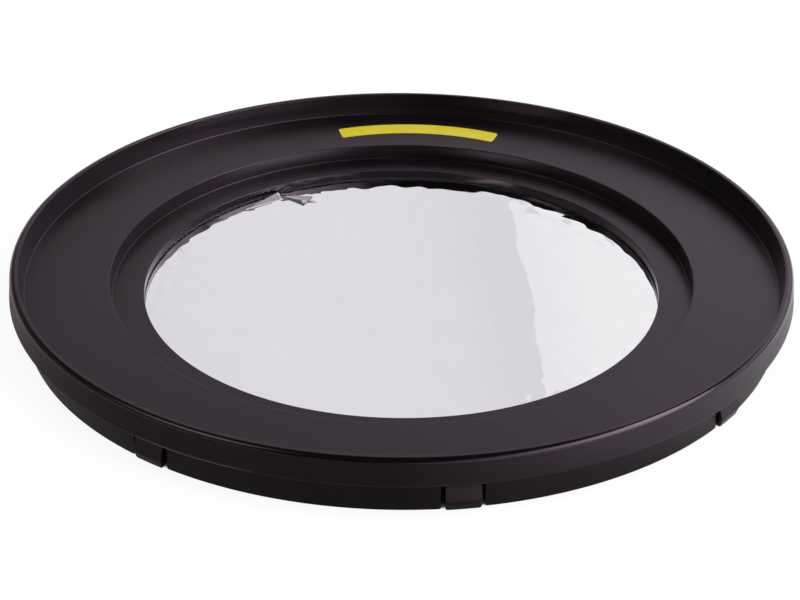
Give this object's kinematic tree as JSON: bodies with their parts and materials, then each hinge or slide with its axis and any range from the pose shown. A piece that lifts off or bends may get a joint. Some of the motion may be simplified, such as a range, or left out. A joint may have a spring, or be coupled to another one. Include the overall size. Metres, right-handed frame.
{
  "type": "telescope solar filter",
  "caption": "Full-aperture solar filter: a round black plug-in cell with a raised rim, a stepped recess and a metallised film disc held by a snap-in ring.",
  "frame": {"origin": "on the optical axis, at the lower edge of the plug skirt, which is what the filter stands on", "axes": "+Z along the optical axis towards the sky; +Y towards the sticker on the face"},
  "size_m": [0.24, 0.24, 0.0183],
  "materials": {
    "cell_plastic": "black injection moulding with a fine satin texture",
    "gasket_foam": "dark grey closed-cell foam",
    "metallised_film": "silvery metallised film with faint ripples at its edge",
    "retainer_plastic": "black injection moulding, satin",
    "sticker_vinyl": "yellow vinyl, left without print"
  },
  "bodies": {
    "root": {"filter_cell": "cell_plastic", "film_gasket": "gasket_foam", "solar_film": "metallised_film", "retaining_ring": "retainer_plastic", "sticker_strip": "sticker_vinyl"}
  },
  "joints": []
}
